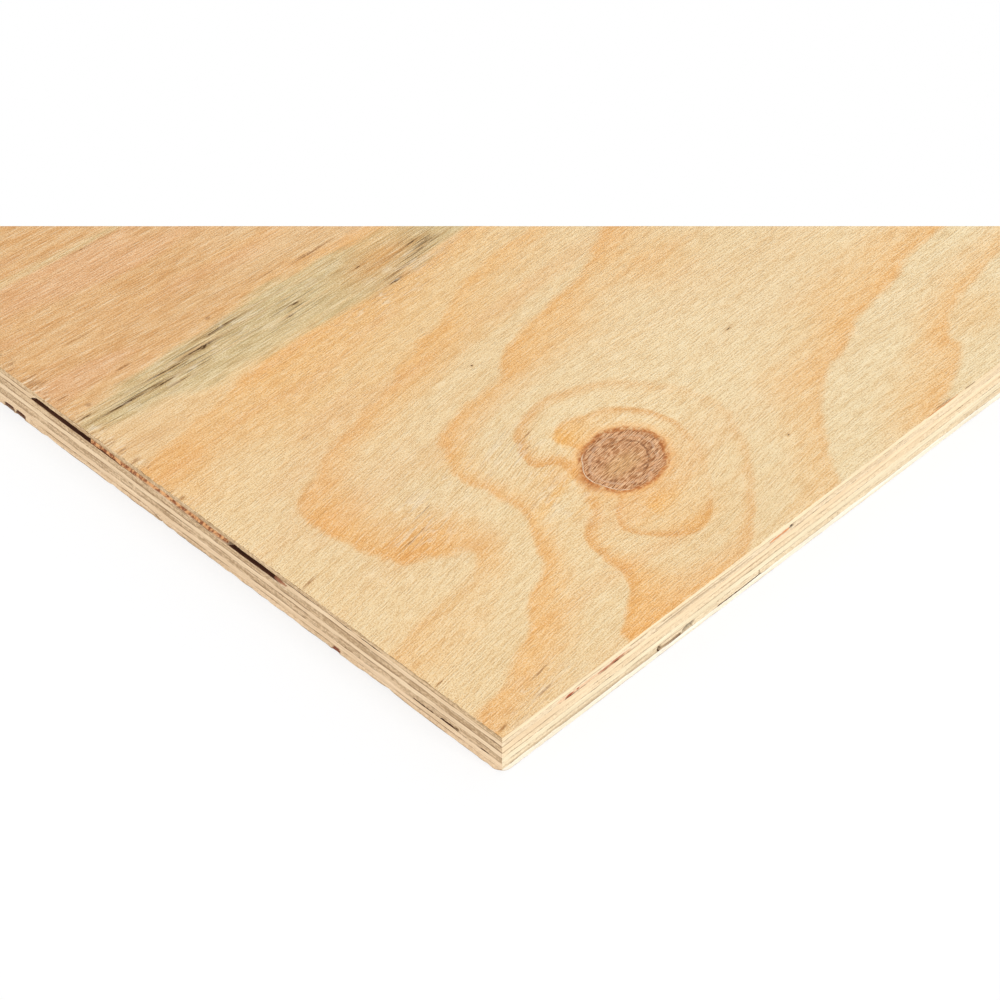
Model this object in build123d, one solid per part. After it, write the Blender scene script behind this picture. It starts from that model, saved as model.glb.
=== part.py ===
"""Plywood sheet: seven veneers glued face to face, with the grain crossed from ply to ply.

Millimetres. X runs along the grain of the face veneer, Z is up, and the origin is under the
middle of the sheet, in the plane that its back veneer lies on. Places on the sawn edges are
measured from the near corner, where X and Y are lowest.
"""
import os

from build123d import *

# The sheet
sheet_length = 1220.0
sheet_width = 610.0

# Veneer thicknesses, from the back up
back_thickness = 2.6
lower_crossband_thickness = 2.7
lower_center_thickness = 2.9
core_crossband_thickness = 2.5
upper_center_thickness = 3.0
upper_crossband_thickness = 2.5
face_thickness = 2.1

# The near corner of the back veneer is worn round
corner_wear_radius = 4.5

# Short edge: the upper crossband's strip falls short of the saw cut twice, torn in between
near_gap_start = 103.0
near_gap_length = 31.0
near_gap_depth = 4.2
torn_start = 130.0
torn_length = 76.0
torn_depth = 1.5
far_gap_start = 202.0
far_gap_length = 31.5
far_gap_depth = 4.6

# Short edge: a sliver lost from the lower side of the lower center ply
sliver_start = 20.5
sliver_length = 9.0
sliver_depth = 3.0
sliver_height = 0.9

# Short edge: a chip, a split and a bark pocket in the back veneer
chip_start = 78.0
chip_length = 3.5
chip_depth = 0.7
split_start = 165.0
split_length = 7.5
split_depth = 0.7
bark_start = 236.5
bark_length = 11.0
bark_depth = 1.2

# Long edge: an open joint in the lower side of the upper crossband, and a resin pocket through it
joint_start = 26.5
joint_length = 36.0
joint_depth = 1.2
joint_height = 1.2
resin_start = 130.5
resin_length = 12.5
resin_depth = 1.2

# Long edge: a hairline opening along the lower side of the lower crossband
hairline_start = 105.0
hairline_length = 22.0
hairline_depth = 1.0
hairline_height = 0.6


def on_short_edge(along, into):
    """Plan point at a distance along the short edge and into the sheet."""
    return (into - sheet_length / 2, along - sheet_width / 2)


def on_long_edge(along, into):
    """Plan point at a distance along the long edge and into the sheet."""
    return (along - sheet_length / 2, into - sheet_width / 2)


def edge_gap(place, start, length, depth, height):
    """Opening in a sawn edge, as high as given: an arc into the sheet, closed by its mirror image."""
    first = place(start, 0)
    last = place(start + length, 0)
    middle = start + length / 2
    inner_arc = ThreePointArc(first, place(middle, depth), last)
    outer_arc = ThreePointArc(last, place(middle, -depth), first)
    return extrude(make_face([inner_arc, outer_arc]), amount=height)


def veneer(thickness, gaps, near_corner_radius=0):
    """One ply of the sheet's full size, lying on the plan plane, with its openings cut."""
    plan = Rectangle(sheet_length, sheet_width)
    if near_corner_radius > 0:
        near_corner = plan.vertices().group_by(Axis.X)[0].sort_by(Axis.Y)[0]
        plan = fillet(near_corner, near_corner_radius)
    ply = extrude(plan, amount=thickness)
    for gap in gaps:
        ply -= gap
    return ply


def back_veneer():
    """Back ply, with its chip, its split, its bark pocket and its worn corner."""
    places = [
        (chip_start, chip_length, chip_depth),
        (split_start, split_length, split_depth),
        (bark_start, bark_length, bark_depth),
    ]
    gaps = [edge_gap(on_short_edge, *sizes, back_thickness) for sizes in places]
    return veneer(back_thickness, gaps, corner_wear_radius)


def lower_crossband():
    """Second ply from the back, with a hairline opening at its glue line."""
    hairline = edge_gap(on_long_edge, hairline_start, hairline_length, hairline_depth, hairline_height)
    return veneer(lower_crossband_thickness, [hairline])


def lower_center_ply():
    """Third ply from the back, with a sliver lost at its glue line."""
    sliver = edge_gap(on_short_edge, sliver_start, sliver_length, sliver_depth, sliver_height)
    return veneer(lower_center_thickness, [sliver])


def core_crossband():
    """Middle ply of the seven."""
    return veneer(core_crossband_thickness, [])


def upper_center_ply():
    """Third ply from the face."""
    return veneer(upper_center_thickness, [])


def upper_crossband():
    """Ply under the face, with the open core joints that show in both sawn edges."""
    places = [
        (near_gap_start, near_gap_length, near_gap_depth),
        (torn_start, torn_length, torn_depth),
        (far_gap_start, far_gap_length, far_gap_depth),
    ]
    gaps = [edge_gap(on_short_edge, *sizes, upper_crossband_thickness) for sizes in places]
    gaps.append(edge_gap(on_long_edge, joint_start, joint_length, joint_depth, joint_height))
    gaps.append(edge_gap(on_long_edge, resin_start, resin_length, resin_depth, upper_crossband_thickness))
    return veneer(upper_crossband_thickness, gaps)


def face_veneer():
    """Face ply."""
    return veneer(face_thickness, [])


# The lay-up, from the back up: each ply lies on the one before
layup = [
    (back_veneer, back_thickness),
    (lower_crossband, lower_crossband_thickness),
    (lower_center_ply, lower_center_thickness),
    (core_crossband, core_crossband_thickness),
    (upper_center_ply, upper_center_thickness),
    (upper_crossband, upper_crossband_thickness),
    (face_veneer, face_thickness),
]

os.makedirs("parts", exist_ok=True)
ply_base = 0
for make_ply, thickness in layup:
    ply = Pos(0, 0, ply_base) * make_ply()
    export_step(ply, f"parts/{make_ply.__name__}.step")
    ply_base += thickness
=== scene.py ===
# %% [markdown]
# # A sheet of softwood plywood
#
# The real sheet is seven pine veneers, peeled from logs, laid with their grain crossed and glued
# under a press. What makes it look like plywood is the banded sawn edge and the broad figure of
# the peeled face: rings, a knot, a band of stain and torn fibres. The solids give every ply its
# place and size, and this lesson dresses them: first the view and the light, then the figure,
# the ply meshes and their finishes.

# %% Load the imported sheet
import math

import bpy
import numpy as np
from mathutils import Matrix, Vector


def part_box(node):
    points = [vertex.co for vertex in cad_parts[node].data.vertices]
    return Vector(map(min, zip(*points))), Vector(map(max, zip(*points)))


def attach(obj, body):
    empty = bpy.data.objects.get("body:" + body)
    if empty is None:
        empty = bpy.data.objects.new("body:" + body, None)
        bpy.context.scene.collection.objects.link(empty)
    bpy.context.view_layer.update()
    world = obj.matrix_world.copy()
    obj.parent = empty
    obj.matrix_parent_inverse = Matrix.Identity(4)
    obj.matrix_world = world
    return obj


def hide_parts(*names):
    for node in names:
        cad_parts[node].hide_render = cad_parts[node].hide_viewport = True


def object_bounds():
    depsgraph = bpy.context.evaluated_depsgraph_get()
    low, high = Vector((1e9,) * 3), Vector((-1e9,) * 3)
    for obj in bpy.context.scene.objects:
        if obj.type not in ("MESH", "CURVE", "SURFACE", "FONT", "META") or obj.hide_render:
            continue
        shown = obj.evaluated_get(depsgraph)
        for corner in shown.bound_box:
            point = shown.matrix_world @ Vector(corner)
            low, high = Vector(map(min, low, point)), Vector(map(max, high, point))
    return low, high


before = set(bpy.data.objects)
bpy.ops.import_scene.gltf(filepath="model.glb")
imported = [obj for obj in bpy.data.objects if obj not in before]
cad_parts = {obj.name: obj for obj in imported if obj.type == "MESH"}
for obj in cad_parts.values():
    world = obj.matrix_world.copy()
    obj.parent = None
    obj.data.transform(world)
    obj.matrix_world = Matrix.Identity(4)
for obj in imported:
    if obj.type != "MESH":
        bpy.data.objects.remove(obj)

cad_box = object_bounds()
MM = 0.001
sheet_origin = np.array(cad_box[0])
sheet_length, sheet_width, sheet_thickness = (np.array(cad_box[1]) - sheet_origin) / MM
print("sheet in millimetres:", sheet_length, sheet_width, sheet_thickness)

# %% [markdown]
# ## The view
#
# The picture is taken from far away with a long lens, looking down on one corner, so parallel
# edges stay nearly parallel. The camera could be placed by hand and nudged. Here it is worked out
# instead: two angles, the distance to the near corner and the corner's place in the picture give
# the whole view. The picture also ends at a straight line near its top, and the camera's far
# limit, which lies square to the view, ends the flat face along just such a line.

# %% Camera
picture_pixels = 1000
focal_pixels = 6598.65
corner_pixel_x = 502.1
corner_pixel_y = 738.7
top_row_pixel = 226.0
corner_distance = 2.2
view_azimuth = math.radians(-45.29)
view_elevation = math.radians(46.18)


def from_angles(azimuth, elevation):
    """Direction at an azimuth, counted from the front, and at a height, both in radians."""
    return Vector((
        math.sin(azimuth) * math.cos(elevation),
        -math.cos(azimuth) * math.cos(elevation),
        math.sin(elevation),
    ))


view_right = Vector((math.cos(view_azimuth), math.sin(view_azimuth), 0))
view_back = from_angles(view_azimuth, view_elevation)
view_up = view_back.cross(view_right)
near_corner = Vector((cad_box[0].x, cad_box[0].y, cad_box[1].z))
half_picture = picture_pixels / 2
corner_right = (corner_pixel_x - half_picture) / focal_pixels * corner_distance
corner_up = (half_picture - corner_pixel_y) / focal_pixels * corner_distance
camera_place = near_corner + view_back * corner_distance - view_right * corner_right - view_up * corner_up
top_row_slope = (half_picture - top_row_pixel) / focal_pixels
top_row_ray = view_up * top_row_slope - view_back

camera_data = bpy.data.cameras.new("corner_view")
camera_data.sensor_width = 36.0
camera_data.lens = camera_data.sensor_width * focal_pixels / picture_pixels
camera_data.clip_start = corner_distance / 4
camera_data.clip_end = (near_corner.z - camera_place.z) / top_row_ray.z
camera = bpy.data.objects.new("corner_view", camera_data)
view_axes = Matrix((view_right, view_up, view_back)).transposed()
camera.matrix_world = Matrix.Translation(camera_place) @ view_axes.to_4x4()
bpy.context.scene.collection.objects.link(camera)
bpy.context.scene.camera = camera
print("camera at", tuple(round(c, 3) for c in camera_place), "far limit", round(camera_data.clip_end, 4))

# %% [markdown]
# ## Light and floor
#
# The sheet is shown on white under soft, nearly even light, with the right-hand edge the
# brightest, the face next and the left-hand edge a little shaded. An even pale sky does most of
# that. A broad key light from the right rakes across the grain, so that torn fibres cast their
# small shades, and a weak fill keeps the left edge open. The floor is white card: the camera sees
# most of it as plain white, and the rest takes the sheet's shadow.

# %% Lights, sky and floor
scene = bpy.context.scene
scene.view_settings.view_transform = "Standard"


def add_sun(name, strength, azimuth, elevation, spread):
    """A sun that shines from an azimuth, counted as the camera's is, and a height, all in degrees."""
    light = bpy.data.lights.new(name, "SUN")
    light.energy = strength
    light.angle = math.radians(spread)
    source = from_angles(math.radians(azimuth), math.radians(elevation))
    sun = bpy.data.objects.new(name, light)
    sun.rotation_euler = source.to_track_quat("Z", "Y").to_euler()
    scene.collection.objects.link(sun)


add_sun("key_from_right", strength=1.45, azimuth=8, elevation=27, spread=14)
add_sun("fill_from_left", strength=0.68, azimuth=-92, elevation=24, spread=40)


def join_for_eye(tree, lit, white, share, surface):
    """Joins a lit shader and plain white: rays to the eye get a share of white, rays of light get none."""
    path = tree.nodes.new("ShaderNodeLightPath")
    seen = path.outputs["Is Camera Ray"]
    for other in ("Is Glossy Ray", "Is Transmission Ray"):
        either = tree.nodes.new("ShaderNodeMath")
        either.operation = "MAXIMUM"
        tree.links.new(seen, either.inputs[0])
        tree.links.new(path.outputs[other], either.inputs[1])
        seen = either.outputs[0]
    white_share = tree.nodes.new("ShaderNodeMath")
    white_share.operation = "MULTIPLY"
    white_share.inputs[1].default_value = share
    tree.links.new(seen, white_share.inputs[0])
    joined = tree.nodes.new("ShaderNodeMixShader")
    for place, source in enumerate([white_share, lit, white]):
        tree.links.new(source.outputs[0], joined.inputs[place])
    tree.links.new(joined.outputs[0], surface)


world = bpy.data.worlds.new("pale_sky")
world.use_nodes = True
scene.world = world
sky_tree = world.node_tree
sky = sky_tree.nodes["Background"]
sky.inputs["Color"].default_value = (0.98, 0.985, 1.0, 1.0)
sky.inputs["Strength"].default_value = 0.785
white_sky = sky_tree.nodes.new("ShaderNodeBackground")
white_sky.inputs["Color"].default_value = (1.0, 1.0, 1.0, 1.0)
white_sky.inputs["Strength"].default_value = 1.0
join_for_eye(sky_tree, sky, white_sky, 1.0, sky_tree.nodes["World Output"].inputs["Surface"])

floor_reach = 30.0
floor_drop = 0.0002
floor_corners = [(-1, -1), (1, -1), (1, 1), (-1, 1)]
floor_points = [(x * floor_reach, y * floor_reach, -floor_drop) for x, y in floor_corners]
floor_mesh = bpy.data.meshes.new("white_floor")
floor_mesh.from_pydata(floor_points, [], [(0, 1, 2, 3)])
floor = bpy.data.objects.new("white_floor", floor_mesh)
scene.collection.objects.link(floor)

card_white_share = 0.78
card = bpy.data.materials.new("white_card")
card.use_nodes = True
card_tree = card.node_tree
card_tree.nodes.clear()
card_matte = card_tree.nodes.new("ShaderNodeBsdfDiffuse")
card_matte.inputs["Color"].default_value = (0.96, 0.96, 0.96, 1.0)
card_white = card_tree.nodes.new("ShaderNodeEmission")
card_white.inputs["Strength"].default_value = 1.0
card_out = card_tree.nodes.new("ShaderNodeOutputMaterial")
join_for_eye(card_tree, card_matte, card_white, card_white_share, card_out.inputs["Surface"])
floor_mesh.materials.append(card)
print("lights, sky and floor are set")

# %% [markdown]
# ## The figure of the face
#
# A veneer is peeled from the log like paper from a roll, so the knife cuts the growth rings at a
# shallow angle and each ring shows as a broad band: orange late wood that ends at a sharp line
# and pale early wood that follows. The bands are the contour lines of a landscape, with the knot
# at the bottom of a valley. So the figure is one smooth height over the sheet: a few points along
# each ring line are listed, with the line's number as their height, and a thin-plate spline, the
# shape of a springy sheet pushed through those points, fills in between. Whole heights are the
# sharp lines. All places are millimetres from the near corner: along the grain first, then across.

# %% Ring lines by the near corner
ring_lines = [
    (1.0, [(106, 49.5), (101, 46.5), (98, 42), (97, 37), (99, 32), (103, 27), (108, 22), (115, 18.5),
           (124, 20), (134, 28), (142, 38), (147.5, 50), (149.7, 60), (147.5, 70), (141, 80),
           (134.5, 85), (126, 89), (119, 90.5), (113, 87.5), (110.5, 84), (112.5, 79.5)]),
    (2.0, [(60, 0), (62, 6), (68, 10.5), (75, 16), (80.5, 20.5), (82, 28), (82.5, 36), (84, 43), (88, 48.5),
           (96, 52.5)]),
    (2.0, [(104, 74.8), (99, 78), (96.5, 83), (97, 89), (101, 95), (107, 100), (115, 103), (125, 102.5),
           (135, 99.5), (145, 95), (152, 88.5), (157.5, 82), (163, 73), (167, 60), (165, 47), (158, 35),
           (148, 22), (138, 12.5), (128, 4.5), (121, 0)]),
    (3.0, [(0, 13), (10, 17), (20, 20), (30, 25), (40, 30), (47, 36), (53, 41), (61, 44), (67, 49), (71, 56),
           (75, 63), (77.5, 70), (77, 80), (75, 88), (74, 96), (75.5, 103), (79, 111), (84, 116.5), (93, 119),
           (105, 121), (114, 121.5), (121, 123), (125, 127), (131, 130), (141, 133), (152, 135), (165, 136.5),
           (180, 139.5), (189, 144.5), (200, 149), (230, 153), (280, 158)]),
    (3.0, [(168, 0), (171, 5), (176, 12), (183, 20), (188, 26.5), (194, 32), (202, 36.5), (210, 40.5),
           (217, 42.5), (222.5, 44.5), (228, 48.5), (236, 50), (246, 51.5), (256, 53.5), (265, 57),
           (280, 58.5), (292, 58), (330, 63)]),
    (4.0, [(165, 167), (145, 165), (133, 160.5), (125, 156.5), (112, 154), (101, 151.5), (92, 147.5),
           (80, 144), (65, 141), (50, 138), (38, 132.5), (29, 129.5), (24.5, 125), (22, 116), (23, 107),
           (25, 96), (28, 86), (33, 79.5), (41, 73.5), (47, 69.5), (51, 66.5), (47, 63.5), (38, 61),
           (20, 58), (0, 56)]),
    (4.0, [(222, 0), (233, 5), (240, 8.5), (246, 13.5), (249, 20), (253, 24.5), (262, 29.5), (275, 32.5),
           (288, 35.5), (330, 42)]),
    (5.0, [(0, 179), (20, 181), (45, 184), (62, 187), (80, 187), (105, 184.5), (130, 182), (150, 182),
           (175, 184), (230, 190), (290, 194)]),
    (6.0, [(0, 222), (35, 221), (60, 219.5), (90, 219), (105, 217.5), (130, 212), (160, 208), (230, 214)]),
    (7.0, [(0, 246), (60, 242), (110, 236), (200, 236)]),
    (8.0, [(20, 266), (60, 262), (90, 257), (180, 258)]),
    (9.0, [(20, 287), (70, 280), (160, 280)]),
]
between_lines = [
    (0.15, [(122, 62)]),
    (0.75, [(124, 83), (118, 41), (141, 60)]),
    (1.5, [(122, 97), (156, 62), (90, 33), (130, 14)]),
    (2.25, [(180, 100), (170, 60), (215, 95), (200, 78), (90, 62)]),
    (2.4, [(260, 105), (300, 110), (84, 95)]),
    (2.6, [(30, 8), (50, 18), (0, 0)]),
    (3.45, [(230, 28), (200, 14), (50, 100), (60, 128)]),
    (3.6, [(0, 38), (30, 44)]),
    (4.2, [(10, 85), (0, 70), (8, 100)]),
    (4.4, [(275, 12), (300, 20), (0, 125), (20, 140)]),
    (4.5, [(50, 158), (100, 166), (0, 150)]),
]
ring_points = np.array([(u, v, level) for level, line in ring_lines + between_lines for u, v in line], float)
print("ring points picked:", len(ring_points))


# %% A springy sheet through the picked points
SPLINE_UNIT = 100.0
SPLINE_SLACK = 0.0004
SPLINE_CHUNK = 8000
TINY = 1e-9


def bend_kernel(first, second):
    """Thin-plate kernel r^2 log r of every distance between two sets of points."""
    squared = ((first[:, None, :] - second[None, :, :]) ** 2).sum(-1)
    return 0.5 * squared * np.log(squared + TINY)


def spline_through(points):
    """Height function: a tilted plane plus a weighted kernel about each point, made to meet the points."""
    places = points[:, :2] / SPLINE_UNIT
    count = len(places)
    plane = np.column_stack([np.ones(count), places])
    system = np.zeros((count + 3, count + 3))
    system[:count, :count] = bend_kernel(places, places) + SPLINE_SLACK * np.eye(count)
    system[:count, count:] = plane
    system[count:, :count] = plane.T
    weights = np.linalg.solve(system, np.concatenate([points[:, 2], np.zeros(3)]))

    def height(u, v):
        at = np.column_stack([u.ravel(), v.ravel()]) / SPLINE_UNIT
        pieces = [
            bend_kernel(part, places) @ weights[:count] + weights[count] + part @ weights[count + 1:]
            for part in np.array_split(at, 1 + len(at) // SPLINE_CHUNK)
        ]
        return np.concatenate(pieces).reshape(u.shape)

    return height


corner_rings = spline_through(ring_points)

# %% [markdown]
# ## The rest of the sheet
#
# Only one corner is known, and the rest is finished as such a face would be: the same valley runs
# on along the sheet with slow waves and a few more knots. Near the corner the picked rings count,
# further away the plain ones, and a smooth step joins them. Fibres drift slowly across the sheet
# and spread apart to pass a knot. The coordinate across the grain does the same, so a fibre is a
# line along which it stays equal, and noise read in it runs with the fibres.

# %% Knots, plain rings and the grain's own coordinates
face_knots = [
    (121.9, 61.4, 16.4, 14.1), (648, 318, 13, 10.5), (934, 122, 10.5, 9), (452, 492, 8, 7),
    (1118, 446, 12, 10),
]
back_knots = [
    (318, 214, 14, 11), (842, 402, 17, 13), (566, 84, 9, 7.5), (1040, 250, 7, 6), (120, 486, 11, 9),
]


def smooth_step(value, low, high):
    """0 below low, 1 above high, and an S curve between them."""
    share = np.clip((value - low) / (high - low), 0, 1)
    return share * share * (3 - 2 * share)


def bell(u, v, middle_u, middle_v, reach_u, reach_v):
    """1 in the middle and exp(-r^2) round it, with r counted in a reach along and a reach across."""
    return np.exp(-((u - middle_u) / reach_u) ** 2 - ((v - middle_v) / reach_v) ** 2)


def bell_patches(u, v, patches):
    """Sum of bells, cut off at 1."""
    return np.clip(sum(bell(u, v, *patch) for patch in patches), 0, 1)


def wave_sum(u, v, waves, seed):
    """Mean of sines that run in slightly different directions, each with its lengths along and across."""
    starts = np.random.default_rng(seed).uniform(0, 2 * np.pi, len(waves))
    return np.mean([
        np.sin(2 * np.pi * (u / along + v / across) + start)
        for (along, across), start in zip(waves, starts)
    ], axis=0)


def plain_rings(u, v, knots, seed):
    """Height of a slow valley along the sheet, with waves, and a pit at every knot."""
    axis = 96 + 0.11 * u + 34 * wave_sum(u, 0 * v, [(760, 1), (410, 1)], seed)
    away = (v - axis) / 62
    waves = wave_sum(u, v, [(290, 240), (-380, 170), (150, 330)], seed + 1)
    height = 1.7 + np.sqrt(away ** 2 + 0.5) + 0.55 * waves
    for knot_u, knot_v, half_u, half_v in knots:
        height -= 1.5 * bell(u, v, knot_u, knot_v, 2.6 * half_u, 2.2 * half_v)
    return height


def face_rings(u, v):
    """The picked rings near the corner, joined by a smooth step to the plain ones."""
    known = (1 - smooth_step(u, 290, 400)) * (1 - smooth_step(v, 285, 370))
    return known * corner_rings(u, v) + (1 - known) * plain_rings(u, v, face_knots[1:], seed=11)


def across_grain(u, v, knots):
    """Distance across the sheet, less the fibres' slow drift, and stretched beside each knot."""
    past_stain = smooth_step(v, 95, 230)
    near_drift = 8 * np.tanh(u / 400) + 17 * np.tanh(u / 140) - 1.7 * np.tanh((u - 222) / 32)
    far_drift = -24 * np.tanh(u / 200)
    across = v - (1 - past_stain) * near_drift - past_stain * far_drift
    for knot_u, knot_v, half_u, half_v in knots:
        across = across - 0.34 * (v - knot_v) * bell(u, v, knot_u, knot_v, 2.1 * half_u, 2.8 * half_v)
    return across


probe_u, probe_v = np.meshgrid(np.linspace(0, 280, 8), np.linspace(0, 200, 6))
print("ring heights near the corner from", face_rings(probe_u, probe_v).min().round(2),
      "to", face_rings(probe_u, probe_v).max().round(2))

# %% [markdown]
# ## The stain, the tan wood and the torn patches
#
# A fungus has left a grey-green band across the face, the wood beyond it is tanner, and where the
# knife met slanting fibres it tore them. The late wood isn't equally strong along a ring either.
# Each of these is a soft number over the sheet, placed by listed lines and spots. Painting
# them on a map would tie them to pixels. As numbers on the mesh's points each can be moved alone.

# %% Lines and strengths picked on the face
stain_middle = [
    (0, 206), (30, 204), (50, 200), (100, 197), (150, 191), (260, 186), (420, 199), (640, 192),
    (800, 186),
]
stain_half_width = [
    (0, 5), (25, 8.5), (50, 12.5), (95, 15), (130, 13), (160, 9), (260, 7), (420, 12), (640, 6),
    (800, 0.1),
]
late_strength = [
    (32, 112, 1.0), (36, 98, 0.95), (45, 84, 1.0), (57, 70, 0.8), (28, 129, 0.6), (60, 140, 0.6),
    (85, 143, 0.55), (118, 152, 0.75), (145, 161, 0.65), (20, 57, 0.3), (0, 54, 0.3), (40, 60, 0.25),
    (79, 97, 0.7), (79, 80, 0.75), (79, 68, 0.7), (72, 55, 0.9), (60, 42, 0.95), (45, 33, 0.85),
    (22, 18, 0.8), (5, 11, 0.75), (86, 113, 0.75), (112, 120, 0.6), (128, 127, 0.9), (160, 134, 0.8),
    (198, 145, 0.75), (210, 126, 0.7), (180, 118, 0.5), (86, 40, 0.7), (85, 25, 0.9), (73, 10, 1.0),
    (95, 3, 0.9), (98, 86, 0.5), (105, 98, 0.3), (125, 101, 0.25), (152, 90, 0.2), (161, 70, 0.12),
    (161, 50, 0.12), (147, 22, 0.25), (130, 6, 0.5), (98, 40, 0.25), (107, 25, 0.3), (116, 21, 0.35),
    (127, 22, 0.3), (136, 31, 0.12), (148, 50, 0.1), (148, 68, 0.15), (113, 84, 0.75), (127, 88, 0.35),
    (172, 8, 0.45), (186, 24, 0.5), (208, 44, 0.6), (226, 50, 0.75), (262, 60, 0.8), (284, 66, 0.8),
    (205, 62, 0.4), (230, 9, 0.7), (244, 18, 0.75), (266, 28, 0.65), (180, 75, 0.2), (215, 80, 0.2),
    (8, 172, 0.9), (40, 176, 0.55), (68, 179, 0.7), (100, 177, 0.6), (125, 177, 0.5), (145, 176, 0.4),
    (30, 150, 0.3), (20, 225, 0.3), (92, 218, 0.8), (118, 213, 0.8), (40, 250, 0.35), (60, 280, 0.35),
]
line_strength = [
    (107, 23, 1.0), (116, 19, 1.0), (125, 21, 0.95), (113, 86, 0.9), (124, 90, 0.65), (135, 85, 0.65),
    (141, 80, 0.85), (147, 72, 0.9), (150, 63, 0.85), (149, 54, 0.6), (145, 45, 0.3), (141, 37, 0.25),
    (134, 28, 0.4), (125, 20, 0.7), (115, 18, 0.8), (107, 23, 0.9), (102, 28, 0.85), (99, 36, 0.85),
    (100, 45, 0.85), (105, 50, 0.85), (104, 75, 0.95), (97, 80, 0.95), (98, 88, 0.9), (103, 94, 0.8),
    (112, 100, 0.75), (122, 102, 0.65), (133, 100, 0.55), (145, 95, 0.5), (155, 85, 0.4),
    (163, 73, 0.3), (168, 59, 0.3), (166, 48, 0.35), (158, 35, 0.45), (148, 22, 0.55), (137, 12, 0.6),
    (128, 4, 0.6), (62, 6, 0.5), (75, 16, 0.6), (81, 22, 0.85), (82, 36, 0.85), (84, 43, 0.9),
    (92, 51, 0.8), (77, 75, 0.6), (75, 88, 0.6), (71, 56, 0.6), (60, 44, 0.5), (25, 100, 0.4),
    (26, 122, 0.4), (125, 127, 0.5),
]
print("strengths picked:", len(late_strength), "for late wood and", len(line_strength), "for ring lines")

# %% Masks over the face
FAR_WEIGHT = 0.02
arris_reach = 9.0


def along_line(points, u):
    """Value of a listed line at every place along the grain."""
    places, values = np.array(points, float).T
    return np.interp(u, places, values)


def soft_average(spots, u, v, reach, elsewhere):
    """Mean of listed values, each weighted by a bell of its distance, with one value far from all."""
    weight, total = FAR_WEIGHT, FAR_WEIGHT * elsewhere
    for spot_u, spot_v, value in spots:
        share = bell(u, v, spot_u, spot_v, reach, reach)
        weight, total = weight + share, total + value * share
    return total / weight


def brown_patch(u, v):
    """Brown patch in the stain's far part, where resin has soaked the wood."""
    return bell(u, v, 133, 193, 17, 8)


def stain_mask(u, v):
    """1 in the stain band, fading over a few millimetres at its rims, plus the thin stripe beyond it."""
    wobble = 1.6 * wave_sum(u, v, [(61, 40), (-37, 29), (23, 51)], seed=5)
    apart = np.abs(v + wobble - along_line(stain_middle, u)) - along_line(stain_half_width, u)
    band = (1 - smooth_step(apart, -6, 3.5)) * (1 - smooth_step(u, 560, 760))
    stripe_apart = np.abs(v - (283.0 - 0.137 * u))
    stripe_stretch = smooth_step(u, 8, 30) * (1 - smooth_step(u, 90, 150))
    stripe = 0.6 * (1 - smooth_step(stripe_apart, 0.3, 3.2)) * stripe_stretch
    return np.maximum(band, stripe)


def tan_mask(u, v):
    """1 in the tanner wood past the stain, and weak patches of it elsewhere."""
    past_stain = smooth_step(v + 0.05 * u, 198, 222) * (1 - 0.4 * smooth_step(u, 60, 130))
    past_stain = past_stain * (1 - 0.85 * stain_mask(u, v))
    lobe = 0.5 * bell(u, v, 58, 69.5, 8, 4)
    wash = 0.04 + 0.16 * bell(u, v, 40, 95, 28, 28) + 0.45 * bell(u, v, 10, 186, 24, 22)
    wash = wash + 0.04 * wave_sum(u, v, [(330, 210), (-210, 390)], seed=8)
    far_side = 1 - 0.5 * smooth_step(u, 330, 620)
    return np.clip(np.maximum(past_stain * far_side, lobe) + wash * (1 - past_stain), 0, 1)


def warm_wash(u, v):
    """Share of warm early wood: strong left of the knot and in listed patches, weak to the right."""
    share = 0.08 + 0.22 * (1 - smooth_step(u, 120, 200))
    patches = [
        (25, 60, 42, 45, 0.25), (0, 0, 70, 50, 0.25), (112, 40, 38, 28, 0.5), (115, 168, 95, 34, 1.0),
        (230, 115, 60, 30, 0.2), (203, 122, 16, 11, 0.7), (262, 24, 15, 9, 0.8), (130, 184, 18, 9, 0.5),
        (232, 68, 20, 7, 0.5), (81, 101, 9, 8, 0.6), (101, 74, 11, 7, 0.7),
    ]
    for *patch, amount in patches:
        share = share + amount * bell(u, v, *patch)
    return share


def orange_patches(u, v):
    """Resin-rich patches round the knot: sharp on their near side, fading along the grain."""
    below = (1 - smooth_step(111.5 - u, -0.8, 0.8)) * bell(u, v, 113, 38.5, 10, 3.6)
    above = (1 - smooth_step(111.2 - u, -0.8, 0.8)) * bell(u, v, 113, 83, 10, 4.5)
    bridge = 0.8 * bell(u, v - 0.29 * (u - 92), 92, 66, 15, 1.8)
    loop = 0.7 * bell(u, v, 118, 22.5, 9, 2.6)
    lower_bridge = 0.4 * bell(u, v + 0.1 * (u - 98), 98, 54, 9, 1.5)
    return np.clip(below + above + bridge + loop + lower_bridge, 0, 1)


def torn_mask(u, v):
    """1 where the knife tore slanting fibres: beside the ring bend, left of the knot and under the stain."""
    return bell_patches(u, v, [
        (43, 86, 17, 11), (62, 96, 20, 9), (98, 90, 14, 12), (118, 176, 26, 5), (18, 6, 24, 7),
        (60, 203, 50, 9), (94, 64, 10, 14), (135, 184, 18, 6), (560, 300, 60, 40), (900, 180, 50, 30),
    ])


def split_mask(u, v):
    """1 where the stain's fibres have opened into many thin dark splits."""
    return bell_patches(u, v, [
        (20, 204, 24, 3.5), (46, 201, 18, 4), (60, 207.5, 20, 3), (140, 184, 16, 4), (148, 190, 14, 4),
        (95, 197, 24, 5),
    ])


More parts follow.
